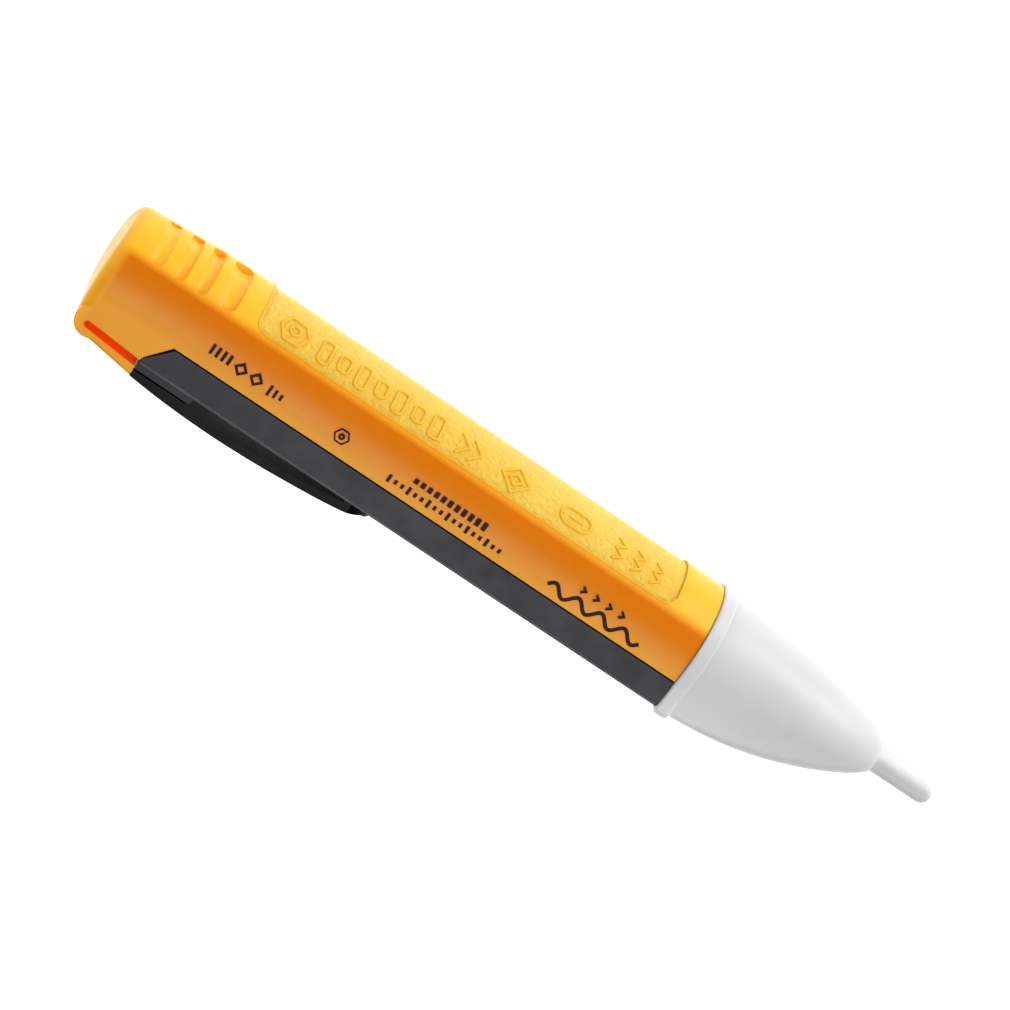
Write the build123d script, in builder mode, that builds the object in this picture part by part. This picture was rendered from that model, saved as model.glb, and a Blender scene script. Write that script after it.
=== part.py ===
"""Non-contact voltage tester, pen style, two AAA cells in line.

Millimetres. The pen lies on one flat side: +X runs to the sensing tip, +Y is the
domed back of the yellow sleeve, -Y is the pocket clip side, +Z is up. Sections are
drawn as (u, w): u is measured along +Y from the centre of the domed back, and w
along +Z from the mid-plane that halves the pen from flat side to flat side.
"""

import os
from math import cos, radians, sin, sqrt

from build123d import *

# ---- driving dimensions ----------------------------------------------------------
LENGTH = 150.0
DOME_R = 10.8  # radius of the domed back, and half the width over the flat sides
FLOOR_U = -7.15  # outer face of the grey tray
RING_X0 = 30.1  # rear face of the nose ring
RING_X1 = 32.4
RING_PROUD = 0.6
RING_FLOOR_U = -8.0
RING_ROUND = 0.4
CLIP_OUTER_U = -11.7  # lowest point of the clip's bow
CLEAR = 0.3  # gap between pieces that move past each other

MID_Z = DOME_R + RING_PROUD  # the ring's side touches z = 0
TOP_U = DOME_R + RING_PROUD
AXIS_Y = -(TOP_U + CLIP_OUTER_U) / 2  # centres the whole width on y = 0
REAR_X = -LENGTH / 2
TIP_X = LENGTH / 2

# sleeve
SLEEVE_WALL = 1.5
SLEEVE_R = DOME_R - SLEEVE_WALL
SLEEVE_X1 = RING_X0 - 0.1
SLEEVE_EDGE_U = -2.05  # lower edge of the sides, above the rail
REAR_INNER_X = REAR_X + SLEEVE_WALL
NOTCH_X0 = -62.6  # where the tongue and the slot end
NOTCH_X1 = -59.7
SLOT_X0 = -72.7
CROWN_X = -60.0  # where the back starts to drop towards the rear end
CROWN_SLOPE = 0.062
SIDE_BOTTOM_U = -10.6  # how far down the blank's sides run before the profile is cut
REAR_ROUND = 1.8
TONGUE_ROUND = 0.5
PANEL_X = (-51.8, 23.4)
PANEL_HALF_W = 8.5
PANEL_DEPTH = 0.25
GRIPS = ((-70.3, -67.75), (-66.1, -64.05), (-62.5, -60.3), (-58.7, -55.5))
GRIP_DEPTH = 1.0
GRIP_WALL = 0.35
GRIP_ARC = 60.0
GRIP_CENTRE = 23.0  # middle of the pockets, turned from the back towards +Z

# tray
RAIL_HALF_W = DOME_R - 0.15
RAIL_TOP_U = SLEEVE_EDGE_U - CLEAR
LIP_OUT_W = SLEEVE_R - CLEAR - 0.2
LIP_IN_W = 7.8
LIP_TOP_U = 2.2
FLOOR_WALL = 1.5
FLOOR_IN_U = FLOOR_U + FLOOR_WALL
TROUGH_U = (-4.25, -3.2)
TRAY_REAR_X = -73.2
BULKHEAD_X = (21.0, 22.0)

# cells
CELL_R = 5.25
CELL_LENGTH = 44.5
CELL_NUB = 1.0
CELL_U = 2.1
CELL_X0 = -71.8
SPRING_LENGTH = 3.4
CONTACT_T = 0.4

# circuit board
BOARD_X = (22.4, 50.4)
BOARD_HALF_W = 6.6
BOARD_U = (-1.2, 0.0)
SCREW_X = 24.3
SCREW_W = 5.2
FRONT_POST_X = 33.6
FRONT_POST_W = 5.5

# power button, under the board
BUTTON_X = 25.7
BUTTON_R = 2.8

# nose
NOSE_X0 = RING_X1
NOSE_X1 = 64.5
NOSE_WALL = 1.7
PROBE_U = 2.2
PROBE_T = 3.4
PROBE_W = 6.5

# pocket clip
CLIP_T = 1.35
CLIP_TIP_X = -20.3
CLIP_ROOT_X = -60.9
BLOCK_X1 = -52.5
BLOCK_U = -9.3
CLIP_ROOT_HALF_W = 7.0
CLIP_TIP_HALF_W = 5.6
BARREL_R = 1.25
BARREL_HALF_W = 5.0


def section_plane(x):
    """Plane across the pen at x, with local x along u and local y along w."""
    return Plane(origin=(x, AXIS_Y, MID_Z), x_dir=(0, 1, 0), z_dir=(1, 0, 0))


def side_plane(w=0.0):
    """Plane along the pen, with local x along X and local y along u."""
    return Plane(origin=(0, AXIS_Y, MID_Z + w), x_dir=(1, 0, 0), z_dir=(0, 0, 1))


def top_plane(u):
    """Plane facing the back, with local x along X and local y towards -w."""
    return Plane(origin=(0, AXIS_Y + u, MID_Z), x_dir=(1, 0, 0), z_dir=(0, 1, 0))


def at(x, u, w):
    return (x, AXIS_Y + u, MID_Z + w)


def d_sketch(x, half_w, bottom_u, corner=0.3, centre_u=0.0, rise=None):
    """D-shaped section at x: domed top, straight sides and a flat bottom."""
    rise = half_w if rise is None else rise
    side_u = bottom_u + corner
    flat_w = half_w - corner
    with BuildSketch(section_plane(x)) as sketch:
        with BuildLine():
            Line((side_u, -half_w), (centre_u, -half_w))
            if abs(rise - half_w) < 1e-6:
                CenterArc((centre_u, 0), half_w, start_angle=-90, arc_size=180)
            else:
                EllipticalCenterArc((centre_u, 0), rise, half_w, start_angle=-90, arc_size=180)
            Line((centre_u, half_w), (side_u, half_w))
            mid_u, mid_w = side_u - corner * sin(radians(45)), flat_w + corner * cos(radians(45))
            ThreePointArc((side_u, half_w), (mid_u, mid_w), (bottom_u, flat_w))
            Line((bottom_u, flat_w), (bottom_u, -flat_w))
            ThreePointArc((bottom_u, -flat_w), (mid_u, -mid_w), (side_u, -half_w))
        make_face()
    return sketch.sketch


def block(x, u, w):
    """Box between pairs of x, u and w values, for use inside a part."""
    size = (x[1] - x[0], u[1] - u[0], w[1] - w[0])
    centre = at((x[0] + x[1]) / 2, (u[0] + u[1]) / 2, (w[0] + w[1]) / 2)
    return Pos(*centre) * Box(*size, mode=Mode.PRIVATE)


def rod_x(x, u, w, radius):
    """Cylinder along X between a pair of x values."""
    centre = at((x[0] + x[1]) / 2, u, w)
    return Pos(*centre) * Rot(0, 90, 0) * Cylinder(radius, x[1] - x[0], mode=Mode.PRIVATE)


def rod_u(x, u, w, radius):
    """Cylinder along u between a pair of u values."""
    centre = at(x, (u[0] + u[1]) / 2, w)
    return Pos(*centre) * Rot(90, 0, 0) * Cylinder(radius, u[1] - u[0], mode=Mode.PRIVATE)


def rod_w(x, u, half_length, radius):
    """Cylinder along w, centred on the mid-plane."""
    return Pos(*at(x, u, 0)) * Cylinder(radius, 2 * half_length, mode=Mode.PRIVATE)


def finish(piece, label):
    piece.part.label = label
    export_step(piece.part, f"parts/{label}.step")


os.makedirs("parts", exist_ok=True)


# ---- sleeve: yellow battery cover with dome, rear end, tongue, grips and panel ----
# Tool shapes are made first, each as its own solid.
def grip_cutter(x0, x1):
    """Pocket swept round the dome: short straight walls, a scooped floor and round ends."""
    wall_r = DOME_R - GRIP_WALL
    out_r = DOME_R + 1.5
    with BuildPart() as cutter:
        with BuildSketch(side_plane()) as profile:
            with BuildLine():
                Polyline((x0, wall_r), (x0, out_r), (x1, out_r), (x1, wall_r))
                ThreePointArc((x1, wall_r), ((x0 + x1) / 2, DOME_R - GRIP_DEPTH), (x0, wall_r))
            make_face()
        turn_axis = Axis(at(0, 0, 0), (1, 0, 0))
        revolve(axis=turn_axis, revolution_arc=GRIP_ARC)
        ends = cutter.edges().filter_by(GeomType.LINE).filter_by(
            lambda e: abs(e.length - (out_r - wall_r)) < 0.01
        )
        fillet(ends, radius=0.42 * (x1 - x0))
    middle = Pos(*at(0, 0, 0))
    turned = middle * Rot(GRIP_CENTRE - GRIP_ARC / 2, 0, 0) * middle.inverse() * cutter.part
    return turned


# cutter for the recessed back panel, down to a floor that keeps the dome's shape
with BuildPart() as panel_cutter:
    with BuildSketch(top_plane(4.0)) as panel_shape:
        with Locations(((PANEL_X[0] + PANEL_X[1]) / 2, 0)):
            RectangleRounded(PANEL_X[1] - PANEL_X[0], 2 * PANEL_HALF_W, 2.2)
    extrude(amount=9.0)
    add(rod_x((REAR_X, TIP_X), 0, 0, DOME_R - PANEL_DEPTH), mode=Mode.SUBTRACT)

# rear length of the blank, where the whole dome tilts down
with BuildPart() as rear_crown:
    add(d_sketch(CROWN_X, DOME_R, SIDE_BOTTOM_U))
    drop = (CROWN_X - REAR_X + 1) * CROWN_SLOPE
    add(d_sketch(REAR_X - 1, DOME_R, SIDE_BOTTOM_U, centre_u=-drop))
    loft(ruled=True)

with BuildPart() as sleeve:
    extrude(d_sketch(CROWN_X, DOME_R, SIDE_BOTTOM_U), amount=SLEEVE_X1 - CROWN_X)
    add(rear_crown.part)
    # side profile: crowned rear face, rounded lower rear corner, sloping tongue
    with BuildSketch(side_plane()) as side_shape:
        with BuildLine():
            Line((SLEEVE_X1, -11), (SLEEVE_X1, 12))
            Line((SLEEVE_X1, 12), (-74.2, 12))
            ThreePointArc((-74.2, 12), (REAR_X, 2.0), (-74.5, -5.6))
            ThreePointArc((-74.5, -5.6), (-73.5, -7.73), (-71.2, -8.15))
            Line((-71.2, -8.15), (NOTCH_X0 - 0.4, -9.35))
            Line((NOTCH_X0 - 0.4, -9.35), (NOTCH_X0 - 0.4, -11))
            Line((NOTCH_X0 - 0.4, -11), (SLEEVE_X1, -11))
        make_face()
    extrude(amount=12, both=True, mode=Mode.INTERSECT)
    rear_faces = sleeve.faces().filter_by(
        lambda f: f.center().X < -73.2 and f.area > 60
    )
    fillet(rear_faces.edges().filter_by(lambda e: e.center().Y > AXIS_Y - 5.0), radius=REAR_ROUND)
    tongue_edges = sleeve.edges().filter_by(
        lambda e: e.center().Y < AXIS_Y - 8.3
        and -70 < e.center().X < -64
        and abs(e.center().Z - MID_Z) > 10
    )
    fillet(tongue_edges, radius=TONGUE_ROUND)
    # cavity, open along the clip side from the notch forward
    extrude(d_sketch(REAR_INNER_X, SLEEVE_R, TROUGH_U[0] - 0.35), amount=LENGTH, mode=Mode.SUBTRACT)
    with BuildSketch(side_plane()) as open_side:
        with BuildLine():
            Polyline(
                (NOTCH_X0 - 0.4, -6.5),
                (NOTCH_X0 - 0.15, -5.75),
                (NOTCH_X1 - 0.1, SLEEVE_EDGE_U),
                (SLEEVE_X1 + 1, SLEEVE_EDGE_U),
                (SLEEVE_X1 + 1, -12),
                (NOTCH_X0 - 0.4, -12),
                close=True,
            )
        make_face()
    extrude(amount=12, both=True, mode=Mode.SUBTRACT)
    # slot above the tongue
    with BuildSketch(side_plane()) as slot_shape:
        with BuildLine():
            Line((NOTCH_X0, -6.5), (SLOT_X0 + 0.6, -5.75))
            ThreePointArc((SLOT_X0 + 0.6, -5.75), (SLOT_X0, -6.32), (SLOT_X0 + 0.6, -6.9))
            Line((SLOT_X0 + 0.6, -6.9), (NOTCH_X0, -7.75))
            Line((NOTCH_X0, -7.75), (NOTCH_X0, -6.5))
        make_face()
    extrude(amount=12, both=True, mode=Mode.SUBTRACT)
    add(panel_cutter.part, mode=Mode.SUBTRACT)
    for grip_x0, grip_x1 in GRIPS:
        add(grip_cutter(grip_x0, grip_x1), mode=Mode.SUBTRACT)
finish(sleeve, "sleeve")


# ---- chassis tray: grey floor and side rails, cell cradle, bulkhead, clip block ----
with BuildPart() as chassis_tray:
    # floor with its side rails
    with BuildSketch(section_plane(NOTCH_X0)) as channel:
        with BuildLine():
            Polyline(
                (RAIL_TOP_U, -RAIL_HALF_W),
                (FLOOR_U + 0.5, -RAIL_HALF_W),
                (FLOOR_U, 0.5 - RAIL_HALF_W),
                (FLOOR_U, RAIL_HALF_W - 0.5),
                (FLOOR_U + 0.5, RAIL_HALF_W),
                (RAIL_TOP_U, RAIL_HALF_W),
                (RAIL_TOP_U, LIP_OUT_W),
                (FLOOR_IN_U, LIP_OUT_W),
                (FLOOR_IN_U, -LIP_OUT_W),
                (RAIL_TOP_U, -LIP_OUT_W),
                close=True,
            )
        make_face()
    extrude(amount=RING_X0 - NOTCH_X0)
    # slanted rear ends of the rails
    with BuildSketch(side_plane()) as rail_notch:
        with BuildLine():
            Polyline(
                (NOTCH_X0 - 1, RAIL_TOP_U + 1),
                (NOTCH_X0 - 1, FLOOR_IN_U + 0.02),
                (NOTCH_X0 + CLEAR, FLOOR_IN_U + 0.02),
                (NOTCH_X1 + CLEAR, RAIL_TOP_U),
                (NOTCH_X1 + CLEAR, RAIL_TOP_U + 1),
                close=True,
            )
        make_face()
    extrude(amount=12, both=True, mode=Mode.SUBTRACT)
    # cradle walls inside the sleeve, joined to the rails by a joggle
    for side in (-1, 1):
        near, far = sorted((side * LIP_IN_W, side * LIP_OUT_W))
        add(block((TRAY_REAR_X, BULKHEAD_X[1]), (-3.9, LIP_TOP_U), (near, far)))
        joggle = sorted((side * LIP_IN_W, side * RAIL_HALF_W))
        add(block((NOTCH_X1 + 1.2, BULKHEAD_X[1]), (-3.9, RAIL_TOP_U), joggle))
    # raised trough behind the floor, and the step that joins it to the floor
    trough_w = (-LIP_OUT_W, LIP_OUT_W)
    add(block((TRAY_REAR_X, NOTCH_X1 + 2.2), TROUGH_U, trough_w))
    add(block((NOTCH_X1 + 1.0, NOTCH_X1 + 2.2), (FLOOR_IN_U, TROUGH_U[0]), trough_w))
    # rear wall and bulkhead, rounded to follow the sleeve
    extrude(d_sketch(TRAY_REAR_X, LIP_OUT_W, TROUGH_U[0]), amount=1.0)
    extrude(d_sketch(BULKHEAD_X[0], LIP_OUT_W, FLOOR_IN_U), amount=BULKHEAD_X[1] - BULKHEAD_X[0])
    add(block((TRAY_REAR_X - 1, BULKHEAD_X[1] + 1), (7.9, 12), (-12, 12)), mode=Mode.SUBTRACT)
    # saddle ribs under the cells
    for rib_x in (-44.0, -18.0, 8.0):
        add(block((rib_x, rib_x + 1.2), (FLOOR_IN_U, 0.4), (-LIP_IN_W, LIP_IN_W)))
    add(rod_x((-72.1, 20.9), CELL_U, 0, CELL_R + 0.1), mode=Mode.SUBTRACT)
    # windows in the bulkhead for the front contact's tail and the return strip
    add(block((20.5, 22.5), (-0.5, 0.7), (-1.6, 1.6)), mode=Mode.SUBTRACT)
    add(block((20.5, 22.5), (0.8, 2.3), (6.9, LIP_IN_W)), mode=Mode.SUBTRACT)
    # screw posts and front tongues under the board
    for side in (-1, 1):
        add(rod_u(SCREW_X, (FLOOR_IN_U, BOARD_U[0]), side * SCREW_W, 1.6))
        tongue_w = sorted((side * 4.5, side * 6.5))
        add(block((28.5, 34.8), (FLOOR_IN_U + 0.1, -4.5), tongue_w))
        add(block((28.5, 30.0), (FLOOR_IN_U, -4.5), tongue_w))
        add(rod_u(FRONT_POST_X, (-4.6, BOARD_U[0]), side * FRONT_POST_W, 1.0))
        add(rod_u(SCREW_X, (-6.2, 0.5), side * SCREW_W, 0.75), mode=Mode.SUBTRACT)
    # hole for the power button
    add(rod_u(BUTTON_X, (-8.0, FLOOR_IN_U + 0.01), 0, BUTTON_R + CLEAR), mode=Mode.SUBTRACT)
    # block that carries the pocket clip, with a round groove for the clip's barrel
    with BuildSketch(side_plane()) as clip_block:
        with BuildLine():
            Polyline(
                (NOTCH_X0, FLOOR_U + 0.2),
                (NOTCH_X0, BLOCK_U),
                (BLOCK_X1 - 0.4, BLOCK_U),
                (BLOCK_X1, FLOOR_U + 0.2),
                close=True,
            )
        make_face()
    extrude(amount=CLIP_ROOT_HALF_W, both=True)
    add(rod_w(CLIP_ROOT_X, BLOCK_U, BARREL_HALF_W + CLEAR, BARREL_R + 0.06), mode=Mode.SUBTRACT)
finish(chassis_tray, "chassis_tray")


# ---- pocket clip: bowed leaf with a round barrel at its root ----------------------
with BuildPart() as pocket_clip:
    root_u = BLOCK_U - CLEAR
    with BuildSketch(side_plane()) as leaf:
        with BuildLine():
            Line((NOTCH_X0, root_u), (NOTCH_X0, root_u - 1.05))
            Spline(
                (NOTCH_X0, root_u - 1.05),
                (-45.0, CLIP_OUTER_U),
                (-31.0, CLIP_OUTER_U + 0.62),
                (-22.0, -9.85),
                tangents=((1.0, -0.13), (1.0, 0.26)),
            )
            ThreePointArc((-22.0, -9.85), (CLIP_TIP_X, -8.75), (-21.6, -7.75))
            ThreePointArc((-21.6, -7.75), (-23.6, -7.9), (-25.4, -9.1))
            Spline(
                (-25.4, -9.1),
                (-33.4, CLIP_OUTER_U + 0.4 + CLIP_T),
                (-45.0, CLIP_OUTER_U + CLIP_T),
                (-54.0, root_u - 0.05),
                tangents=((-1.0, -0.16), (-1.0, 0.12)),
            )
            Line((-54.0, root_u - 0.05), (NOTCH_X0, root_u))
        make_face()
    extrude(amount=CLIP_ROOT_HALF_W, both=True)
    # plan taper and rounded tip
    with BuildSketch(top_plane(-14.0)) as plan:
        with BuildLine():
            Polyline(
                (CLIP_TIP_X - 4.0, -CLIP_TIP_HALF_W),
                (NOTCH_X0, -CLIP_ROOT_HALF_W),
                (NOTCH_X0, CLIP_ROOT_HALF_W),
                (CLIP_TIP_X - 4.0, CLIP_TIP_HALF_W),
            )
            ThreePointArc(
                (CLIP_TIP_X - 4.0, CLIP_TIP_HALF_W),
                (CLIP_TIP_X, 0),
                (CLIP_TIP_X - 4.0, -CLIP_TIP_HALF_W),
            )
        make_face()
    extrude(amount=8.0, mode=Mode.INTERSECT)
    add(rod_w(CLIP_ROOT_X, BLOCK_U, BARREL_HALF_W, BARREL_R))
finish(pocket_clip, "pocket_clip")


# ---- nose cone: translucent white shell, ring, spigot and probe --------------------
def nose_half_w(q):
    return PROBE_W / 2 + (DOME_R - 0.1 - PROBE_W / 2) * sqrt(1 - q**1.8)


def nose_top_u(q):
    return 4.1 + 6.6 * sqrt(1 - q**1.8)


def nose_bottom_u(q):
    return -7.35 + 7.85 * q**2.1


def nose_corner(q):
    return 0.9 + 2.6 * q - 1.6 * q**4


def nose_section(q, inset=0.0):
    """Section of the nose at share q of its length, shrunk by a wall."""
    x = NOSE_X0 + q * (NOSE_X1 - NOSE_X0)
    centre_u = 2.4 * q * q
    half_w = nose_half_w(q) - inset
    rise = nose_top_u(q) - centre_u - inset
    bottom_u = nose_bottom_u(q) + inset
    corner = min(nose_corner(q) - 0.5 * inset, centre_u - bottom_u - 0.15)
    return d_sketch(x, half_w, bottom_u, corner, centre_u, rise)


# flat oval probe with a full round end and softened sides
with BuildPart() as probe:
    with BuildSketch(side_plane()) as probe_side:
        with Locations(((58.0 + TIP_X) / 2, PROBE_U)):
            SlotOverall(TIP_X - 58.0, PROBE_T)
    extrude(amount=PROBE_W / 2, both=True)
    probe_rims = probe.faces().sort_by(Axis.Z)[0].edges() + probe.faces().sort_by(Axis.Z)[-1].edges()
    fillet(probe_rims, radius=1.3)

with BuildPart() as nose_ring:
    extrude(d_sketch(RING_X0, DOME_R + RING_PROUD, RING_FLOOR_U, 1.2), amount=RING_X1 - RING_X0)
    fillet(nose_ring.faces().filter_by(Axis.X).edges(), radius=RING_ROUND)

with BuildPart() as nose_hollow:
    for share in (0.0, 0.18, 0.36, 0.52, 0.66, 0.78, 0.86, 0.92):
        add(nose_section(share, NOSE_WALL))
    loft()

with BuildPart() as nose_cone:
    for share in (0.0, 0.13, 0.26, 0.39, 0.52, 0.64, 0.75, 0.84, 0.91, 0.96, 0.985):
        add(nose_section(share))
    loft()
    add(probe.part)
    # ring between the sleeve and the cone
    add(nose_ring.part)
    # spigot that slides inside the sleeve's mouth
    extrude(d_sketch(23.8, LIP_OUT_W - 0.05, -3.0), amount=RING_X0 - 23.8 + 0.5)
    # hollow, with a slot for the sensor plate in the probe
    extrude(d_sketch(23.0, LIP_IN_W, -5.74), amount=31.6 - 23.0, mode=Mode.SUBTRACT)
    add(block((23.0, RING_X0), (-9.0, -3.0), (-12, 12)), mode=Mode.SUBTRACT)
    extrude(d_sketch(31.5, DOME_R - 0.1 - NOSE_WALL, -5.65, 0.4), amount=NOSE_X0 - 31.5, mode=Mode.SUBTRACT)
    add(nose_hollow.part, mode=Mode.SUBTRACT)
    add(block((60.0, 72.4), (PROBE_U - 0.5, PROBE_U + 0.5), (-2.2, 2.2)), mode=Mode.SUBTRACT)
finish(nose_cone, "nose_cone")


# ---- cells and their contacts -------------------------------------------------------
def make_cell(x0):
    """AAA cell: rounded can, raised positive nub at the rear end."""
    with BuildPart() as cell:
        add(rod_x((x0 + CELL_NUB, x0 + CELL_LENGTH), CELL_U, 0, CELL_R))
        ends = cell.edges().filter_by(GeomType.CIRCLE)
        fillet(ends, radius=0.5)
        add(rod_x((x0, x0 + CELL_NUB + 0.2), CELL_U, 0, 1.9))
    return cell


battery_rear = make_cell(CELL_X0)
finish(battery_rear, "battery_rear")
battery_front = make_cell(CELL_X0 + CELL_LENGTH)
finish(battery_front, "battery_front")
cells_end_x = CELL_X0 + 2 * CELL_LENGTH

with BuildPart() as rear_contact:
    add(block((CELL_X0 - CONTACT_T, CELL_X0), (-1.6, 5.8), (-4.6, 4.6)))
    corners = rear_contact.edges().filter_by(Axis.X)
    fillet(corners, radius=1.0)
    add(block((CELL_X0 - CONTACT_T, CELL_X0), (1.0, 2.0), (4.0, LIP_IN_W - 0.65)))
finish(rear_contact, "rear_contact")

with BuildPart() as front_contact:
    add(block((cells_end_x + SPRING_LENGTH, BULKHEAD_X[0]), (-1.6, 5.8), (-4.6, 4.6)))
    corners = front_contact.edges().filter_by(Axis.X)
    fillet(corners, radius=1.0)
    # tail that passes through the bulkhead on to the board
    add(block((cells_end_x + SPRING_LENGTH, BOARD_X[0] + 1.4), (0.0, CONTACT_T), (-1.2, 1.2)))
finish(front_contact, "front_contact")

SPRING_WIRE_R = 0.3
SPRING_R = 3.2
spring_turns = 3.5
with BuildPart() as battery_spring:
    spring_rise = SPRING_LENGTH - 2 * SPRING_WIRE_R - 0.05
    start = at(cells_end_x + SPRING_WIRE_R + 0.02, CELL_U, 0)
    coil = Helix(
        pitch=spring_rise / spring_turns,
        height=spring_rise,
        radius=SPRING_R,
        center=start,
        direction=(1, 0, 0),
    )
    with BuildSketch(Plane(origin=coil @ 0, z_dir=coil % 0)) as wire:
        Circle(SPRING_WIRE_R)
    sweep(path=coil, is_frenet=True)
finish(battery_spring, "battery_spring")

with BuildPart() as return_strip:
    strip_w = (LIP_IN_W - 0.65, LIP_IN_W - 0.35)
    add(block((CELL_X0 - CONTACT_T, 28.0), (1.0, 2.0), strip_w))
    # bent tab soldered to the board
    add(block((26.6, 28.0), (0.0, 1.0), strip_w))
    add(block((26.6, 28.0), (0.0, 0.3), (5.4, LIP_IN_W - 0.35)))
finish(return_strip, "return_strip")


# ---- circuit board and what is soldered to it ---------------------------------------
BUZZER_X = 38.6
BUZZER_R = 6.0
BUZZER_H = 4.9
PIN_W = 4.7
LED_LEAD_X = 48.8
LED_LEAD_W = 1.27
LEAD_X = 46.4
LEAD_W = -4.6

with BuildPart() as circuit_board:
    with BuildSketch(top_plane(BOARD_U[0])) as board_shape:
        with Locations(((BOARD_X[0] + BOARD_X[1]) / 2, 0)):
            RectangleRounded(BOARD_X[1] - BOARD_X[0], 2 * BOARD_HALF_W, 1.0)
        with Locations((SCREW_X, SCREW_W), (SCREW_X, -SCREW_W)):
            Circle(0.95, mode=Mode.SUBTRACT)
        with Locations((BUZZER_X, PIN_W), (BUZZER_X, -PIN_W)):
            Circle(0.4, mode=Mode.SUBTRACT)
        with Locations((LED_LEAD_X, LED_LEAD_W), (LED_LEAD_X, -LED_LEAD_W)):
            Circle(0.4, mode=Mode.SUBTRACT)
    extrude(amount=BOARD_U[1] - BOARD_U[0])
finish(circuit_board, "circuit_board")

with BuildPart() as detector_chip:
    chip_x, chip_u, chip_w = BUZZER_X, BOARD_U[0] - 0.15, 0.0
    add(block((chip_x - 4.3, chip_x + 4.3), (chip_u - 1.45, chip_u), (-1.95, 1.95)))
    chamfer(detector_chip.edges().group_by(Axis.Y)[0], length=0.25)
    for pin in range(7):
        pin_x = chip_x + (pin - 3) * 1.27
        for side in (-1, 1):
            leg_w = sorted((side * 1.9, side * 2.9))
            foot_w = sorted((side * 2.55, side * 3.1))
            add(block((pin_x - 0.2, pin_x + 0.2), (chip_u - 0.8, chip_u - 0.55), leg_w))
            add(block((pin_x - 0.2, pin_x + 0.2), (BOARD_U[0] - 0.95, BOARD_U[0]), foot_w))
finish(detector_chip, "detector_chip")

with BuildPart() as driver_transistors:
    for body_x, body_w in ((46.0, -2.8), (46.0, 2.8)):
        top_u = BOARD_U[0] - 0.1
        add(block((body_x - 1.45, body_x + 1.45), (top_u - 0.95, top_u), (body_w - 0.65, body_w + 0.65)))
        for leg_x, side in ((-0.95, 1), (0.95, 1), (0.0, -1)):
            leg_w = sorted((body_w + side * 0.6, body_w + side * 1.2))
            add(block((body_x + leg_x - 0.2, body_x + leg_x + 0.2), (BOARD_U[0] - 0.5, BOARD_U[0]), leg_w))
finish(driver_transistors, "driver_transistors")


def chip_parts(places, size):
    """Row of small two-ended chip parts under the board."""
    length, height, width = size
    with BuildPart() as chips:
        for x, w in places:
            add(block((x - length / 2, x + length / 2), (BOARD_U[0] - height, BOARD_U[0]),
                      (w - width / 2, w + width / 2)))
        chamfer(chips.edges().group_by(Axis.Y)[0], length=0.08)
    return chips


resistor_places = [(30.9, w) for w in (-3.4, -1.7, 0.0, 1.7, 3.4)] + [(48.9, -4.4), (48.9, 4.4)]
chip_resistors = chip_parts(resistor_places, (2.0, 0.5, 1.25))
finish(chip_resistors, "chip_resistors")
capacitor_places = [(36.2, -5.4), (36.2, 5.4), (41.2, -5.4), (41.2, 5.4)]
chip_capacitors = chip_parts(capacitor_places, (2.0, 0.85, 1.25))
finish(chip_capacitors, "chip_capacitors")

with BuildPart() as storage_capacitor:
    add(rod_u(28.9, (0.0, 5.0), -2.9, 2.0))
    fillet(storage_capacitor.edges().group_by(Axis.Y)[-1], radius=0.3)
finish(storage_capacitor, "storage_capacitor")

with BuildPart() as boost_coil:
    add(rod_u(29.0, (0.0, 0.6), 2.3, 2.1))
    add(rod_u(29.0, (0.6, 3.0), 2.3, 1.5))
    add(rod_u(29.0, (3.0, 3.6), 2.3, 2.1))
finish(boost_coil, "boost_coil")

with BuildPart() as buzzer_case:
    add(rod_u(BUZZER_X, (0.0, BUZZER_H), 0, BUZZER_R))
    fillet(buzzer_case.edges().group_by(Axis.Y)[-1], radius=0.5)
    add(rod_u(BUZZER_X, (0.8, BUZZER_H - 0.8), 0, BUZZER_R - 0.8), mode=Mode.SUBTRACT)
    add(rod_u(BUZZER_X, (BUZZER_H - 1.0, BUZZER_H + 0.5), 0, 1.1), mode=Mode.SUBTRACT)
    # inner step that carries the disc
    add(rod_u(BUZZER_X, (0.8, 1.6), 0, BUZZER_R - 0.7))
    add(rod_u(BUZZER_X, (0.8, 1.7), 0, BUZZER_R - 1.4), mode=Mode.SUBTRACT)
finish(buzzer_case, "buzzer_case")

with BuildPart() as piezo_disc:
    add(rod_u(BUZZER_X, (1.6, 1.8), 0, BUZZER_R - 0.9))
    add(rod_u(BUZZER_X, (1.8, 2.0), 0, BUZZER_R - 2.2))
finish(piezo_disc, "piezo_disc")

with BuildPart() as buzzer_pins:
    for side in (-1, 1):
        add(rod_u(BUZZER_X, (BOARD_U[0] - 0.8, 0.0), side * PIN_W, 0.3))
finish(buzzer_pins, "buzzer_pins")

# ---- indicator: red light with its leads --------------------------------------------
LED_X = (51.0, 59.6)
LED_R = 2.5
with BuildPart() as indicator_led:
    add(rod_x((LED_X[0], LED_X[0] + 1.0), PROBE_U, 0, 2.9))
    add(rod_x((LED_X[0], LED_X[1] - LED_R), PROBE_U, 0, LED_R))
    add(Pos(*at(LED_X[1] - LED_R, PROBE_U, 0)) * Sphere(LED_R, mode=Mode.PRIVATE))
finish(indicator_led, "indicator_led")

with BuildPart() as led_leads:
    for side in (-1, 1):
        lead_w = (side * LED_LEAD_W - 0.25, side * LED_LEAD_W + 0.25)
        add(block((LED_LEAD_X - 0.25, LED_X[0]), (PROBE_U - 0.25, PROBE_U + 0.25), lead_w))
        add(block((LED_LEAD_X - 0.25, LED_LEAD_X + 0.25), (BOARD_U[0] - 0.7, PROBE_U), lead_w))
finish(led_leads, "led_leads")

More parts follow.
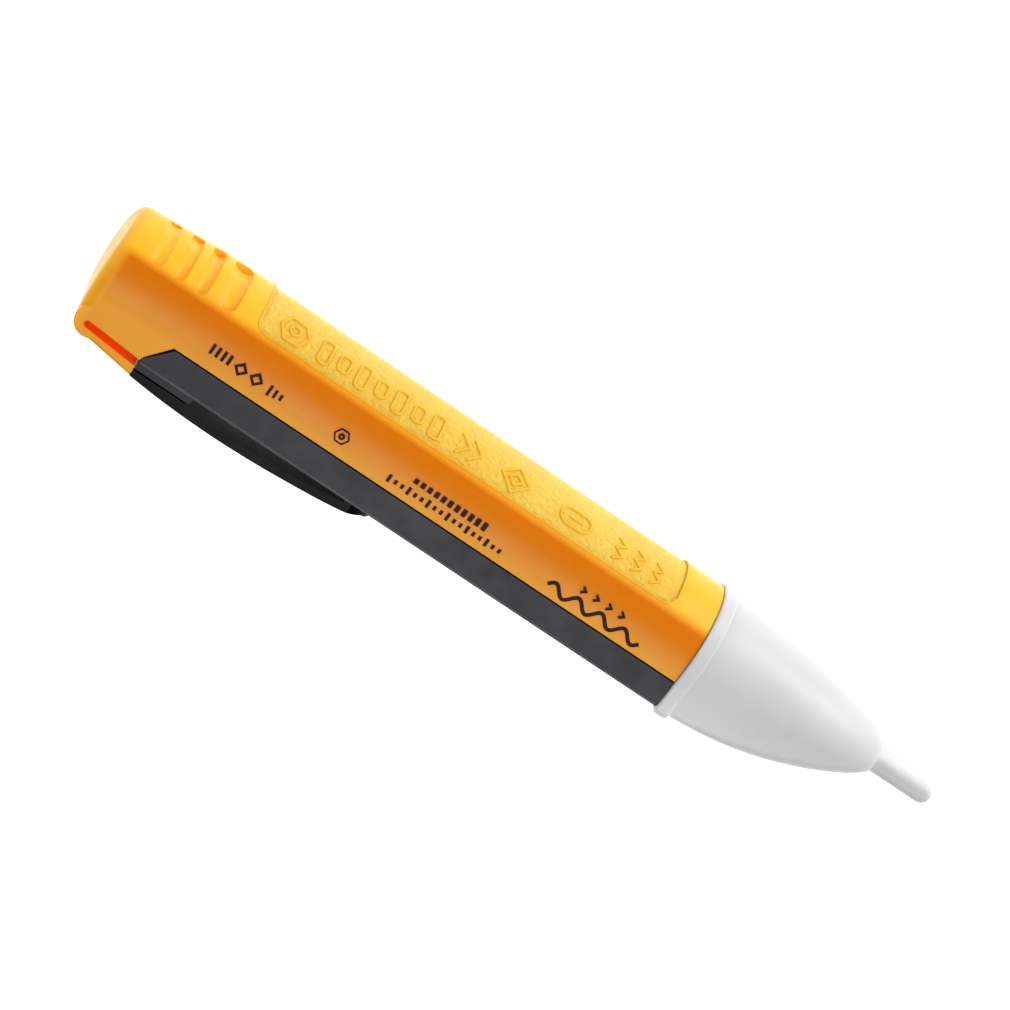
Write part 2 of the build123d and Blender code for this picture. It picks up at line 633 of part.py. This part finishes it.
# ---- sensor: plate in the probe and its insulated lead ------------------------------
SENSOR_X = (61.0, 72.0)
LEAD_R = 0.45
with BuildPart() as sensor_plate:
    add(block(SENSOR_X, (PROBE_U - 0.2, PROBE_U + 0.2), (-1.9, 1.9)))
    fillet(sensor_plate.edges().filter_by(Axis.Y), radius=0.8)
finish(sensor_plate, "sensor_plate")

with BuildPart() as sensor_lead:
    with BuildLine() as route:
        FilletPolyline(
            at(LEAD_X, 0.0, LEAD_W),
            at(LEAD_X, 1.7, LEAD_W),
            at(57.9, 1.9, LEAD_W + 0.3),
            at(60.4, PROBE_U, -0.8),
            at(SENSOR_X[0], PROBE_U, -0.8),
            radius=0.4,
        )
    with BuildSketch(Plane(origin=at(LEAD_X, 0.0, LEAD_W), z_dir=(0, 1, 0))) as lead_section:
        Circle(LEAD_R)
    sweep(path=route.line)
finish(sensor_lead, "sensor_lead")

# ---- power button, its plunger and the switch under the board -----------------------
SWITCH_U = (-3.4, BOARD_U[0])
with BuildPart() as tact_switch:
    add(block((BUTTON_X - 2.6, BUTTON_X + 2.6), SWITCH_U, (-2.6, 2.6)))
    chamfer(tact_switch.edges().group_by(Axis.Y)[0], length=0.3)
    add(rod_u(BUTTON_X, (SWITCH_U[0] - 0.1, -2.0), 0, 1.5), mode=Mode.SUBTRACT)
finish(tact_switch, "tact_switch")

with BuildPart() as switch_plunger:
    add(rod_u(BUTTON_X, (-4.3, -2.8), 0, 1.2))
finish(switch_plunger, "switch_plunger")

with BuildPart() as power_button:
    add(rod_u(BUTTON_X, (-5.0, -4.3), 0, 3.5))
    add(rod_u(BUTTON_X, (FLOOR_U - 0.4, -4.8), 0, BUTTON_R))
    fillet(power_button.edges().group_by(Axis.Y)[0], radius=0.35)
finish(power_button, "power_button")

# ---- screws that hold the board to the tray -----------------------------------------
with BuildPart() as board_screws:
    for side in (-1, 1):
        w = side * SCREW_W
        add(rod_u(SCREW_X, (-6.1, 0.1), w, 0.75))
        add(rod_u(SCREW_X, (0.0, 1.1), w, 1.5))
        add(block((SCREW_X - 1.0, SCREW_X + 1.0), (0.6, 1.3), (w - 0.2, w + 0.2)), mode=Mode.SUBTRACT)
        add(block((SCREW_X - 0.2, SCREW_X + 0.2), (0.6, 1.3), (w - 1.0, w + 1.0)), mode=Mode.SUBTRACT)
finish(board_screws, "board_screws")
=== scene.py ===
"""Looks for the non-contact voltage tester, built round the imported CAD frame.

The pen lies on one flat side. +X runs to the sensing tip, +Y to the domed back of the
yellow sleeve, +Z up. Local names: u is measured along +Y from the centre of the dome,
w along +Z from the mid-plane between the flat sides. All lengths are in metres.
"""
import math

import bpy
from mathutils import Matrix, Vector


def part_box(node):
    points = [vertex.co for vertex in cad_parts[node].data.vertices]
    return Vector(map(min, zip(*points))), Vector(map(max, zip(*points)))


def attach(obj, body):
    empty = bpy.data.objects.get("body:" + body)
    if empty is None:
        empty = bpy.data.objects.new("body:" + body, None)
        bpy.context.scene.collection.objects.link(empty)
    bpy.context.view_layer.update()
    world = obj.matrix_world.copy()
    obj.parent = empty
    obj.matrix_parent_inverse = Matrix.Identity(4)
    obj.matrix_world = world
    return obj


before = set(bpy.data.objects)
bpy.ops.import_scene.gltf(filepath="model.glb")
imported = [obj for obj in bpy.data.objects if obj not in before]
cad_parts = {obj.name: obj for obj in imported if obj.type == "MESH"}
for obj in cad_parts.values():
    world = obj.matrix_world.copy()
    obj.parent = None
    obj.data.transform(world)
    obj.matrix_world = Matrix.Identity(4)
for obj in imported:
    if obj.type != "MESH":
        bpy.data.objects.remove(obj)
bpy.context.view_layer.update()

MM = 0.001

# ---- places and sizes read from the frame --------------------------------------------
sleeve_low, sleeve_high = (Vector(c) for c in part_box("sleeve"))
DOME_R = (sleeve_high.z - sleeve_low.z) / 2
MID_Z = (sleeve_high.z + sleeve_low.z) / 2
AXIS_Y = sleeve_high.y - DOME_R
REAR_X = sleeve_low.x
PANEL_DEPTH = 0.25 * MM
PANEL_X = (REAR_X + 23.2 * MM, REAR_X + 98.4 * MM)
PANEL_HALF_W = 8.5 * MM
PANEL_CORNER = 2.0 * MM
PANEL_ARC = DOME_R * math.asin(PANEL_HALF_W / DOME_R)  # half its width, measured round the dome
SLOT_X = (REAR_X + 2.2 * MM, REAR_X + 12.4 * MM)
SLOT_U = (-7.9 * MM, -5.6 * MM)


def at(x, u, w):
    return Vector((x, AXIS_Y + u, MID_Z + w))


# ---- camera ------------------------------------------------------------------------------
VIEW_ROLL = math.radians(18.0)  # from square-on to the printed side, towards the back
VIEW_TILT = math.radians(10.0)  # towards the rear end
PEN_SLOPE = math.radians(-33.8)  # slope of the pen in the picture
CAMERA_DISTANCE = 0.640
LENS = 152.0
SENSOR_WIDTH = 36.0
NEAR_CLIP = 0.01
TARGET_X = -4.6 * MM
TARGET_RISE = 2.6 * MM  # the camera's target, from the middle of the dome


def make_camera():
    toward = Vector((
        -math.sin(VIEW_TILT),
        math.cos(VIEW_TILT) * math.sin(VIEW_ROLL),
        math.cos(VIEW_TILT) * math.cos(VIEW_ROLL),
    ))
    along = Vector((1, 0, 0)) - toward * toward.x
    along.normalize()
    across = toward.cross(along)
    right = along * math.cos(PEN_SLOPE) - across * math.sin(PEN_SLOPE)
    up = along * math.sin(PEN_SLOPE) + across * math.cos(PEN_SLOPE)
    target = at(TARGET_X, 0, 0) + across * TARGET_RISE
    turn = Matrix((right, up, toward)).transposed().to_4x4()
    data = bpy.data.cameras.new("camera")
    data.lens = LENS
    data.sensor_width = SENSOR_WIDTH
    data.clip_start = NEAR_CLIP
    camera = bpy.data.objects.new("camera", data)
    camera.matrix_world = Matrix.Translation(target + toward * CAMERA_DISTANCE) @ turn
    bpy.context.scene.collection.objects.link(camera)
    bpy.context.scene.camera = camera


make_camera()


# ---- materials -----------------------------------------------------------------------------
def new_material(name, colour, roughness, **settings):
    """Principled material with its constants on the shader's own sockets."""
    material = bpy.data.materials.new(name)
    material.use_nodes = True
    shader = material.node_tree.nodes["Principled BSDF"]
    shader.inputs["Base Color"].default_value = (*colour, 1.0)
    shader.inputs["Roughness"].default_value = roughness
    for key, value in settings.items():
        shader.inputs[key.replace("_", " ")].default_value = value
    return material, shader


def add_node(material, kind, **settings):
    node = material.node_tree.nodes.new(kind)
    for key, value in settings.items():
        if key in node.inputs:
            node.inputs[key].default_value = value
        else:
            setattr(node, key, value)
    return node


def link(material, source, target):
    material.node_tree.links.new(source, target)


def noise(material, scale, detail=3.0, roughness=0.5):
    """Noise that stays with the piece, because it reads object coordinates."""
    place = add_node(material, "ShaderNodeTexCoord")
    texture = add_node(material, "ShaderNodeTexNoise", Scale=scale, Detail=detail, Roughness=roughness)
    link(material, place.outputs["Object"], texture.inputs["Vector"])
    return texture


def ramp(material, source, stops):
    """Colour ramp over a value; stops are (position, colour)."""
    node = add_node(material, "ShaderNodeValToRGB")
    elements = node.color_ramp.elements
    while len(elements) < len(stops):
        elements.new(0.5)
    for element, (position, colour) in zip(elements, stops):
        element.position = position
        element.color = (*colour, 1.0)
    link(material, source, node.inputs["Fac"])
    return node


def map_range(material, source, low, high, to_low, to_high):
    node = add_node(material, "ShaderNodeMapRange", **{
        "From Min": low, "From Max": high, "To Min": to_low, "To Max": to_high,
    })
    link(material, source, node.inputs["Value"])
    return node


def add_bump(material, shader, height, strength, distance, soft_edge=0.0):
    """Fine relief in the shading, over edges rounded by soft_edge."""
    bump = add_node(material, "ShaderNodeBump", Strength=strength, Distance=distance)
    if soft_edge > 0:
        edge = add_node(material, "ShaderNodeBevel", samples=6, Radius=soft_edge)
        link(material, edge.outputs["Normal"], bump.inputs["Normal"])
    link(material, height, bump.inputs["Height"])
    link(material, bump.outputs["Normal"], shader.inputs["Normal"])


GLOSS_SPREAD = 0.06
GRAIN_DEPTH = 0.05 * MM
CELL_DEPTH = 0.60 * MM
SOFT_EDGE = 0.25 * MM


def moulded(name, dark, light, roughness, grain_scale, grain, **settings):
    """Moulded plastic: cloudy colour, uneven gloss and a fine tool-mark grain."""
    material, shader = new_material(name, light, roughness, **settings)
    cloud = noise(material, 60.0, 4.0, 0.6)
    tint = ramp(material, cloud.outputs["Fac"], ((0.35, dark), (0.65, light)))
    link(material, tint.outputs["Color"], shader.inputs["Base Color"])
    smear = noise(material, 240.0, 3.0, 0.6)
    gloss = map_range(
        material, smear.outputs["Fac"], 0.3, 0.7, roughness - GLOSS_SPREAD, roughness + GLOSS_SPREAD,
    )
    link(material, gloss.outputs["Result"], shader.inputs["Roughness"])
    fine = noise(material, grain_scale, 4.0, 0.6)
    add_bump(material, shader, fine.outputs["Fac"], grain, GRAIN_DEPTH)
    return material


# yellow tones: cloudy pair, a painted shade for the shoulders, cloudy pair of the grained panel (its paler
# tone partly a painted sheen)
YELLOW_LIGHT = (0.92, 0.460, 0.028)
YELLOW_DARK = (0.90, 0.430, 0.022)
YELLOW_PAINTED_SHADE = (0.62, 0.150, 0.001)
# the grained panel's paler pair is partly a painted sheen: lighter than the plastic's own yellow, standing
# in for gloss highlights on the grain
YELLOW_GRAINED_SHEEN = (1.0, 0.680, 0.110)
YELLOW_GRAINED_SHEEN_DARK = (1.0, 0.590, 0.070)


def around_the_pen(material):
    """Angle round the dome, from the flat side (0) to the middle of the back (pi / 2),
    and a share that falls to 0 on the rear end face."""
    place = add_node(material, "ShaderNodeTexCoord")
    parts = add_node(material, "ShaderNodeSeparateXYZ")
    link(material, place.outputs["Object"], parts.inputs["Vector"])
    up = add_node(material, "ShaderNodeMath", operation="SUBTRACT")
    up.inputs[1].default_value = AXIS_Y
    link(material, parts.outputs["Y"], up.inputs[0])
    out = add_node(material, "ShaderNodeMath", operation="SUBTRACT")
    out.inputs[1].default_value = MID_Z
    link(material, parts.outputs["Z"], out.inputs[0])
    size = add_node(material, "ShaderNodeMath", operation="ABSOLUTE")
    link(material, out.outputs["Value"], size.inputs[0])
    angle = add_node(material, "ShaderNodeMath", operation="ARCTAN2")
    link(material, up.outputs["Value"], angle.inputs[0])
    link(material, size.outputs["Value"], angle.inputs[1])
    clear_of_end = map_range(material, parts.outputs["X"], REAR_X + 0.3 * MM, REAR_X + 2.5 * MM, 0.0, 1.0)
    return angle, clear_of_end


def level(value):
    """Grey of one value, for ramps that drive a factor."""
    return (value, value, value)


def blend(material, factor, first, second):
    """Colour mix of two sockets."""
    node = add_node(material, "ShaderNodeMix", data_type="RGBA")
    link(material, factor, node.inputs[0])
    link(material, first, node.inputs[6])
    link(material, second, node.inputs[7])
    return node.outputs[2]


def yellow_sleeve(name, grained=False):
    """Yellow plastic, with a painted shade along the shoulders under the back panel: a darker, redder tone
    that stands in for the shade there.
    """
    material, shader = new_material(name, YELLOW_LIGHT, 0.30)
    shader.inputs["Specular IOR Level"].default_value = 0.14
    shader.inputs["Subsurface Weight"].default_value = 0.25
    shader.inputs["Subsurface Radius"].default_value = (1.0, 0.35, 0.05)
    shader.inputs["Subsurface Scale"].default_value = 0.0010
    cloud = noise(material, 45.0, 4.0, 0.6)
    # on the grained panel the paler pair is partly a painted sheen
    dark, light = (YELLOW_GRAINED_SHEEN_DARK, YELLOW_GRAINED_SHEEN) if grained else (YELLOW_DARK, YELLOW_LIGHT)
    tint = ramp(material, cloud.outputs["Fac"], ((0.35, dark), (0.65, light)))
    angle, clear_of_end = around_the_pen(material)
    # painted shade: a darker strip of tone round the shoulders, fading out towards the rear end face
    share = map_range(material, angle.outputs["Value"], -0.3, 1.2, 0.0, 1.0)
    painted_shade_band = ramp(material, share.outputs["Result"], (
        (0.08, level(0.36)), (0.36, level(0.88)), (0.56, level(1.0)), (0.67, level(0.0)),
    ))
    painted_shade_share = add_node(material, "ShaderNodeMath", operation="MULTIPLY")
    link(material, painted_shade_band.outputs["Color"], painted_shade_share.inputs[0])
    link(material, clear_of_end.outputs["Result"], painted_shade_share.inputs[1])
    painted_shade_swatch = add_node(material, "ShaderNodeRGB")
    painted_shade_swatch.outputs[0].default_value = (*YELLOW_PAINTED_SHADE, 1.0)
    colour = blend(material, painted_shade_share.outputs["Value"], tint.outputs["Color"], painted_shade_swatch.outputs[0])
    link(material, colour, shader.inputs["Base Color"])
    smear = noise(material, 260.0, 3.0, 0.6)
    gloss = map_range(material, smear.outputs["Fac"], 0.3, 0.7, 0.26, 0.36)
    link(material, gloss.outputs["Result"], shader.inputs["Roughness"])
    if not grained:
        fine = noise(material, 2600.0, 3.0, 0.6)
        add_bump(material, shader, fine.outputs["Fac"], 0.06, GRAIN_DEPTH, soft_edge=SOFT_EDGE)
        return material
    # orange-peel grain: rounded cells with scratchy fine detail on top
    place = add_node(material, "ShaderNodeTexCoord")
    cells = add_node(material, "ShaderNodeTexVoronoi", feature="SMOOTH_F1", Scale=1300.0)
    link(material, place.outputs["Object"], cells.inputs["Vector"])
    rough = noise(material, 2600.0, 5.0, 0.7)
    both = add_node(material, "ShaderNodeMath", operation="MULTIPLY_ADD")
    both.inputs[1].default_value = 0.8
    link(material, cells.outputs["Distance"], both.inputs[0])
    link(material, rough.outputs["Fac"], both.inputs[2])
    add_bump(material, shader, both.outputs["Value"], 1.0, CELL_DEPTH)
    return material


def slot_painted_glow():
    """Thin yellow plastic inside the rear slot, with painted light: a red-orange glow (emission) and a
    darker base that stand in for light shining through from behind into the shaded slot.
    """
    material, shader = new_material("yellow_plastic_slot_painted_glow", (0.86, 0.13, 0.004), 0.45)
    shader.inputs["Specular IOR Level"].default_value = 0.15
    shader.inputs["Emission Color"].default_value = (1.0, 0.13, 0.003, 1.0)
    shader.inputs["Emission Strength"].default_value = 0.17
    cloud = noise(material, 90.0, 3.0, 0.6)
    tint = ramp(material, cloud.outputs["Fac"], (
        (0.35, (0.80, 0.11, 0.004)), (0.65, (0.90, 0.16, 0.006)),
    ))
    link(material, tint.outputs["Color"], shader.inputs["Base Color"])
    return material


def nose_plastic():
    """White translucent plastic, with a painted shade that darkens it round towards the back, so it is a
    little lighter towards the clip side.
    """
    material = moulded(
        "nose_plastic", (0.66, 0.66, 0.668), (0.69, 0.69, 0.698), 0.38, 1800.0, 0.10,
        Specular_IOR_Level=0.25,
        Subsurface_Weight=0.6, Subsurface_Radius=(1.0, 0.95, 0.9), Subsurface_Scale=0.002,
    )
    shader = material.node_tree.nodes["Principled BSDF"]
    tint = shader.inputs["Base Color"].links[0].from_socket
    angle, _ = around_the_pen(material)
    share = map_range(material, angle.outputs["Value"], -0.9, 1.2, 0.0, 1.0)
    # painted shade: the tone falls from 1.0 towards the clip side to 0.80 towards the back
    tone = ramp(material, share.outputs["Result"], (
        (0.10, level(1.0)), (0.50, level(0.86)), (0.90, level(0.80)),
    ))
    painted_shade_mix = add_node(material, "ShaderNodeMix", data_type="RGBA", blend_type="MULTIPLY")
    painted_shade_mix.inputs[0].default_value = 1.0
    link(material, tint, painted_shade_mix.inputs[6])
    link(material, tone.outputs["Color"], painted_shade_mix.inputs[7])
    link(material, painted_shade_mix.outputs[2], shader.inputs["Base Color"])
    return material


MATERIALS = {
    "yellow": yellow_sleeve("yellow_plastic"),
    "yellow_grained": yellow_sleeve("yellow_plastic_grained", grained=True),
    "yellow_slot_painted_glow": slot_painted_glow(),
    "grey": moulded(
        "grey_plastic", (0.022, 0.022, 0.028), (0.025, 0.025, 0.031), 0.42, 3000.0, 0.18,
        Specular_IOR_Level=0.20,
    ),
    "black": moulded(
        "black_plastic", (0.002, 0.002, 0.0022), (0.0035, 0.0035, 0.0038), 0.32, 2400.0, 0.10,
        Specular_IOR_Level=0.06,
    ),
    "white": nose_plastic(),
    "rubber": moulded("button_rubber", (0.022, 0.022, 0.024), (0.032, 0.032, 0.034), 0.62, 4000.0, 0.35),
    "board": moulded("board_mask", (0.010, 0.085, 0.035), (0.016, 0.120, 0.050), 0.30, 900.0, 0.20),
    "chip": moulded("chip_epoxy", level(0.014), level(0.022), 0.55, 5000.0, 0.40),
    "ceramic": moulded("chip_ceramic", (0.36, 0.25, 0.14), (0.44, 0.32, 0.19), 0.50, 5000.0, 0.25),
    "steel": moulded(
        "nickel_plate", (0.52, 0.50, 0.47), (0.62, 0.60, 0.56), 0.26, 1500.0, 0.15, Metallic=1.0,
    ),
    "brass": moulded(
        "brass_sheet", (0.60, 0.40, 0.12), (0.72, 0.50, 0.17), 0.28, 1500.0, 0.15, Metallic=1.0,
    ),
    "copper": moulded(
        "copper_sheet", (0.62, 0.27, 0.15), (0.74, 0.35, 0.20), 0.30, 1500.0, 0.15, Metallic=1.0,
    ),
    "cell": moulded("cell_wrap", (0.020, 0.045, 0.090), (0.028, 0.060, 0.120), 0.28, 700.0, 0.08),
    "red_epoxy": moulded(
        "red_epoxy", (0.60, 0.02, 0.012), (0.70, 0.03, 0.02), 0.12, 500.0, 0.05,
        Transmission_Weight=0.5, Subsurface_Weight=0.2, Subsurface_Scale=0.001,
    ),
    "insulation": moulded("lead_insulation", (0.45, 0.02, 0.015), (0.55, 0.03, 0.02), 0.40, 3000.0, 0.15),
    "ink": moulded(
        "print_ink", (0.034, 0.008, 0.005), (0.046, 0.012, 0.007), 0.55, 5000.0, 0.20,
        Specular_IOR_Level=0.08,
    ),
}

NODE_LOOKS = {
    "sleeve": "yellow", "chassis_tray": "grey", "pocket_clip": "black", "nose_cone": "white",
    "power_button": "rubber", "switch_plunger": "chip", "circuit_board": "board",
    "detector_chip": "chip", "driver_transistors": "chip", "chip_resistors": "chip",
    "chip_capacitors": "ceramic", "storage_capacitor": "cell", "boost_coil": "copper",
    "indicator_led": "red_epoxy", "led_leads": "steel", "sensor_plate": "copper",
    "sensor_lead": "insulation", "buzzer_case": "chip", "piezo_disc": "brass",
    "buzzer_pins": "steel", "tact_switch": "steel", "battery_front": "cell",
    "battery_rear": "cell", "battery_spring": "steel", "front_contact": "steel",
    "rear_contact": "steel", "return_strip": "steel", "board_screws": "steel",
}


def dress(node_name, look):
    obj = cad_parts[node_name]
    obj.data.materials.clear()
    obj.data.materials.append(MATERIALS[look])


for node_name, look in NODE_LOOKS.items():
    dress(node_name, look)


def in_panel(centre):
    """True for a face of the sleeve on the floor of the recessed back panel."""
    u, w = centre.y - AXIS_Y, centre.z - MID_Z
    radius = math.hypot(u, w)
    inside = PANEL_X[0] < centre.x < PANEL_X[1] and abs(w) < PANEL_HALF_W and u > 0
    return inside and DOME_R - 1.3 * PANEL_DEPTH < radius < DOME_R - 0.8 * PANEL_DEPTH


def in_slot(centre):
    """True for a face of the sleeve on the walls of the slot over the tongue."""
    u, w = centre.y - AXIS_Y, centre.z - MID_Z
    return SLOT_X[0] < centre.x < SLOT_X[1] and SLOT_U[0] < u < SLOT_U[1] and abs(w) < DOME_R - 0.1 * MM


def zone_the_sleeve():
    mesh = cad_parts["sleeve"].data
    mesh.materials.append(MATERIALS["yellow_grained"])
    mesh.materials.append(MATERIALS["yellow_slot_painted_glow"])
    # faces on the panel floor get the grained yellow, faces on the slot walls the painted glow and shade
    for polygon in mesh.polygons:
        if in_panel(polygon.center):
            polygon.material_index = 1
        elif in_slot(polygon.center):
            polygon.material_index = 2


zone_the_sleeve()


# ---- raised and printed marks --------------------------------------------------------------
# Marks are drawn as flat ribbons in (p, q): p along X, q across. They stand for the
# tester's wording with plain generic shapes.
def offsets(points, half, closed):
    """Left and right edges of a ribbon along a path, with mitred corners."""
    left, right = [], []
    count = len(points)
    for i, point in enumerate(points):
        before = points[i - 1] if i > 0 or closed else None
        after = points[(i + 1) % count] if i < count - 1 or closed else None
        into = (Vector(point) - Vector(before)).normalized() if before is not None else None
        away = (Vector(after) - Vector(point)).normalized() if after is not None else None
        into = away if into is None else into
        away = into if away is None else away
        first, second = Vector((-into.y, into.x)), Vector((-away.y, away.x))
        mitre = (first + second).normalized()
        reach = half / max(mitre.dot(second), 0.35)
        left.append(Vector(point) + mitre * reach)
        right.append(Vector(point) - mitre * reach)
    return left, right


def ribbons(name, paths, place, sink, height):
    """Mesh of raised ribbons; place(p, q, h) puts a point h above the surface."""
    verts, faces = [], []
    for points, width, closed in paths:
        left, right = offsets(points, width / 2, closed)
        start = len(verts)
        for a, b in zip(left, right):
            verts += [place(a.x, a.y, -sink), place(a.x, a.y, height),
                      place(b.x, b.y, height), place(b.x, b.y, -sink)]
        count = len(points)
        for i in range(count if closed else count - 1):
            here, there = start + 4 * i, start + 4 * ((i + 1) % count)
            for side in range(4):
                turn = (side + 1) % 4
                faces.append((here + side, here + turn, there + turn, there + side))
        if not closed:
            last = start + 4 * (count - 1)
            faces.append((start + 3, start + 2, start + 1, start))
            faces.append((last, last + 1, last + 2, last + 3))
    mesh = bpy.data.meshes.new(name)
    mesh.from_pydata([tuple(v) for v in verts], [], faces)
    obj = bpy.data.objects.new(name, mesh)
    bpy.context.scene.collection.objects.link(obj)
    return obj


def on_flat(p, q, h):
    """Point on the flat side that faces +Z; q is u."""
    return at(p, q, DOME_R + h)


def on_panel(p, q, h):
    """Point on the panel floor; q is the distance round the dome from its middle."""
    radius = DOME_R - PANEL_DEPTH + h
    angle = q / radius
    return at(p, radius * math.cos(angle), radius * math.sin(angle))


def on_dome(p, q, h):
    radius = DOME_R + h
    angle = q / radius
    return at(p, radius * math.cos(angle), radius * math.sin(angle))


def circle(p, q, radius, steps=32):
    turn = 2 * math.pi / steps
    return [(p + radius * math.cos(i * turn), q + radius * math.sin(i * turn)) for i in range(steps)]


def arc(p, q, radius, start, end, steps):
    angles = [math.radians(start + (end - start) * i / steps) for i in range(steps + 1)]
    return [(p + radius * math.cos(a), q + radius * math.sin(a)) for a in angles]


def wave(p, q, length, rise, turns, steps):
    return [
        (p + length * (i / steps - 0.5), q + rise * math.sin(2 * math.pi * turns * i / steps))
        for i in range(steps + 1)
    ]


def rounded_rectangle(p_low, p_high, half_q, radius, q=0.0):
    """Closed outline from p_low to p_high, centred on q."""
    points = []
    top, bottom = q + half_q - radius, q - half_q + radius
    for centre_p, centre_q, start in ((p_high - radius, top, 0), (p_low + radius, top, 90),
                                      (p_low + radius, bottom, 180), (p_high - radius, bottom, 270)):
        points += arc(centre_p, centre_q, radius, start, start + 90, 8)
    return points


def dense(points, closed, step=0.5 * MM):
    """Path with points added, so that it can follow a curved surface."""
    result = []
    ends = points[1:] + points[:1] if closed else points[1:]
    for start, end in zip(points, ends):
        pieces = max(1, math.ceil(math.dist(start, end) / step))
        for i in range(pieces):
            share = i / pieces
            result.append((start[0] + (end[0] - start[0]) * share, start[1] + (end[1] - start[1]) * share))
    if not closed:
        result.append(points[-1])
    return result


def scaled(paths):
    """Paths given in millimetres, in metres and with points added along them."""
    return [(dense([(p * MM, q * MM) for p, q in points], closed), width * MM, closed)
            for points, width, closed in paths]


def raised_marks():
    """Relief on the panel: a hexagon, bars, chevrons, diamonds, a lozenge and zigzags."""
    q = 6.2
    paths = [(circle(-46.3, q, 2.4, 6), 0.35, True), (circle(-46.3, q, 0.8), 0.30, True)]
    for i in range(7):
        half = 2.1 if i % 2 == 0 else 1.4
        p = -40.8 + 3.3 * i
        paths.append((rounded_rectangle(p - 0.9, p + 0.9, half, 0.6, q), 0.34, True))
    for p in (-17.0, -14.8):
        paths.append(([(p, q - 2.0), (p + 1.8, q), (p, q + 2.0)], 0.35, False))
    for half in (2.4, 1.1):
        paths.append(([(-6.8 - half, q), (-6.8, q + half), (-6.8 + half, q), (-6.8, q - half)], 0.32, True))
    paths.append((rounded_rectangle(1.5, 6.7, 1.5, 1.4, q), 0.30, True))
    paths.append(([(2.9, q), (5.3, q)], 0.36, False))
    for p in (12.2, 15.6, 19.0):
        zigzag = [(p - 0.7 + 1.4 * (i % 2), q - 2.0 + i) for i in range(5)]
        paths.append((zigzag, 0.30, False))
    return paths


def printed_marks():
    """Prints on the flat side: bars, diamonds, a hexagon, a tick scale, chevrons and a wave."""
    paths = []
    # block of bars and diamonds at the rear
    for i in range(4):
        paths.append(([(-55.2 + 1.0 * i, 0.35), (-55.2 + 1.0 * i, 2.05)], 0.50, False))
    for p in (-50.1, -47.4):
        paths.append(([(p - 0.9, 1.0), (p, 1.9), (p + 0.9, 1.0), (p, 0.1)], 0.42, True))
    for i, half in enumerate((0.9, 0.7, 0.5)):
        p = -44.9 + 1.0 * i
        paths.append(([(p, 0.75 - half), (p, 0.75 + half)], 0.46, False))
    # hexagon round a dot
    paths += [(circle(-32.3, 1.0, 1.2, 6), 0.26, True), (circle(-32.3, 1.0, 0.35, 12), 0.36, True)]
    # level scale over a row of ticks
    for i in range(11):
        half = 0.42 + 0.026 * i
        p = -19.4 + 1.22 * i
        paths.append(([(p, 1.65 - half), (p, 1.65 + half)], 0.74, False))
    for i in range(18):
        half = 0.66 if i % 3 == 0 else 0.38
        p = -23.0 + 1.16 * i
        paths.append(([(p, -0.25 - half), (p, -0.25 + half)], 0.54, False))
    # waves and chevrons near the nose
    for i in range(4):
        p = 10.2 + 2.3 * i
        paths.append(([(p, 2.55), (p + 0.7, 2.0), (p, 1.45)], 0.40, False))
    paths.append((wave(13.8, -0.25, 16.6, 0.80, 4.0, 64), 0.62, False))
    return paths


def add_marks():
    raised = ribbons("panel_relief", scaled(raised_marks()), on_panel, 0.05 * MM, 0.19 * MM)
    printed = ribbons("side_print", scaled(printed_marks()), on_flat, 0.02 * MM, 0.015 * MM)
    border = dense(rounded_rectangle(*PANEL_X, PANEL_ARC, PANEL_CORNER), True)
    rim = ribbons("panel_rim", [(border, 0.28 * MM, True)], on_dome, 0.08 * MM, 0.08 * MM)
    for obj, look in ((raised, "yellow"), (printed, "ink"), (rim, "yellow")):
        obj.data.materials.append(MATERIALS[look])
        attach(obj, "sleeve")


add_marks()


# ---- floor and light -------------------------------------------------------------------------
FLOOR_HALF = 1.5


def make_floor():
    mesh = bpy.data.meshes.new("floor")
    half = FLOOR_HALF
    corners = [(-half, -half, 0), (half, -half, 0), (half, half, 0), (-half, half, 0)]
    mesh.from_pydata(corners, [], [(0, 1, 2, 3)])
    floor = bpy.data.objects.new("floor", mesh)
    bpy.context.scene.collection.objects.link(floor)
    material, shader = new_material("floor_paper", level(0.90), 0.8)
    shader.inputs["Emission Color"].default_value = (1.0, 1.0, 1.0, 1.0)
    shader.inputs["Emission Strength"].default_value = 0.80
    tone = noise(material, 6.0, 2.0, 0.5)
    tint = ramp(material, tone.outputs["Fac"], ((0.3, level(0.895)), (0.7, level(0.905))))
    link(material, tint.outputs["Color"], shader.inputs["Base Color"])
    mesh.materials.append(material)


def make_softbox(name, direction, distance, size, power):
    """Area light facing the pen from a direction."""
    aim = at(0, 0, 0)
    direction = Vector(direction).normalized()
    data = bpy.data.lights.new(name, "AREA")
    data.shape = "RECTANGLE"
    data.size, data.size_y = size
    data.energy = power
    light = bpy.data.objects.new(name, data)
    light.location = aim + direction * distance
    light.rotation_euler = direction.to_track_quat("Z", "X").to_euler()
    bpy.context.scene.collection.objects.link(light)


def make_light():
    world = bpy.data.worlds.new("studio")
    world.use_nodes = True
    background = world.node_tree.nodes["Background"]
    background.inputs["Color"].default_value = (1.0, 1.0, 1.0, 1.0)
    background.inputs["Strength"].default_value = 0.14
    bpy.context.scene.world = world
    make_softbox("back_box", (0.55, 0.95, 0.16), 0.55, (0.42, 0.30), 3.3)
    make_softbox("side_box", (0.12, -0.20, 0.97), 0.62, (0.60, 0.26), 2.4)
    make_softbox("end_box", (-0.95, 0.40, 0.45), 0.50, (0.25, 0.25), 0.6)


make_floor()
make_light()
bpy.context.scene.view_settings.view_transform = "Standard"
